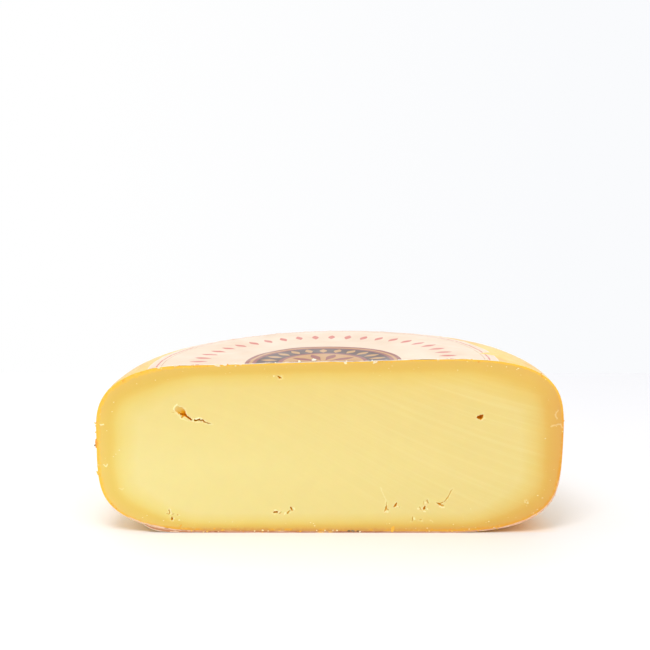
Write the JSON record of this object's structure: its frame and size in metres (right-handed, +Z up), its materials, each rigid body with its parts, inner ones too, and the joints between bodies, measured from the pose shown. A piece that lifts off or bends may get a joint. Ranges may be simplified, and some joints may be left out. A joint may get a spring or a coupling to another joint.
{
  "type": "half wheel of gouda",
  "caption": "Half wheel of semi-hard yellow cheese, cut straight through its middle, with a coated rind and a round paper label on top.",
  "frame": {"origin": "on the surface that the cheese stands on, at the middle of its box", "axes": "+X to the right along the cut face, +Y from the cut face to the round side, +Z up; the cut face looks along -Y"},
  "size_m": [0.344, 0.172, 0.1323],
  "materials": {
    "cheese": "satin",
    "paper": "satin"
  },
  "bodies": {
    "root": {"half_wheel": "cheese", "label": "paper"}
  },
  "joints": []
}
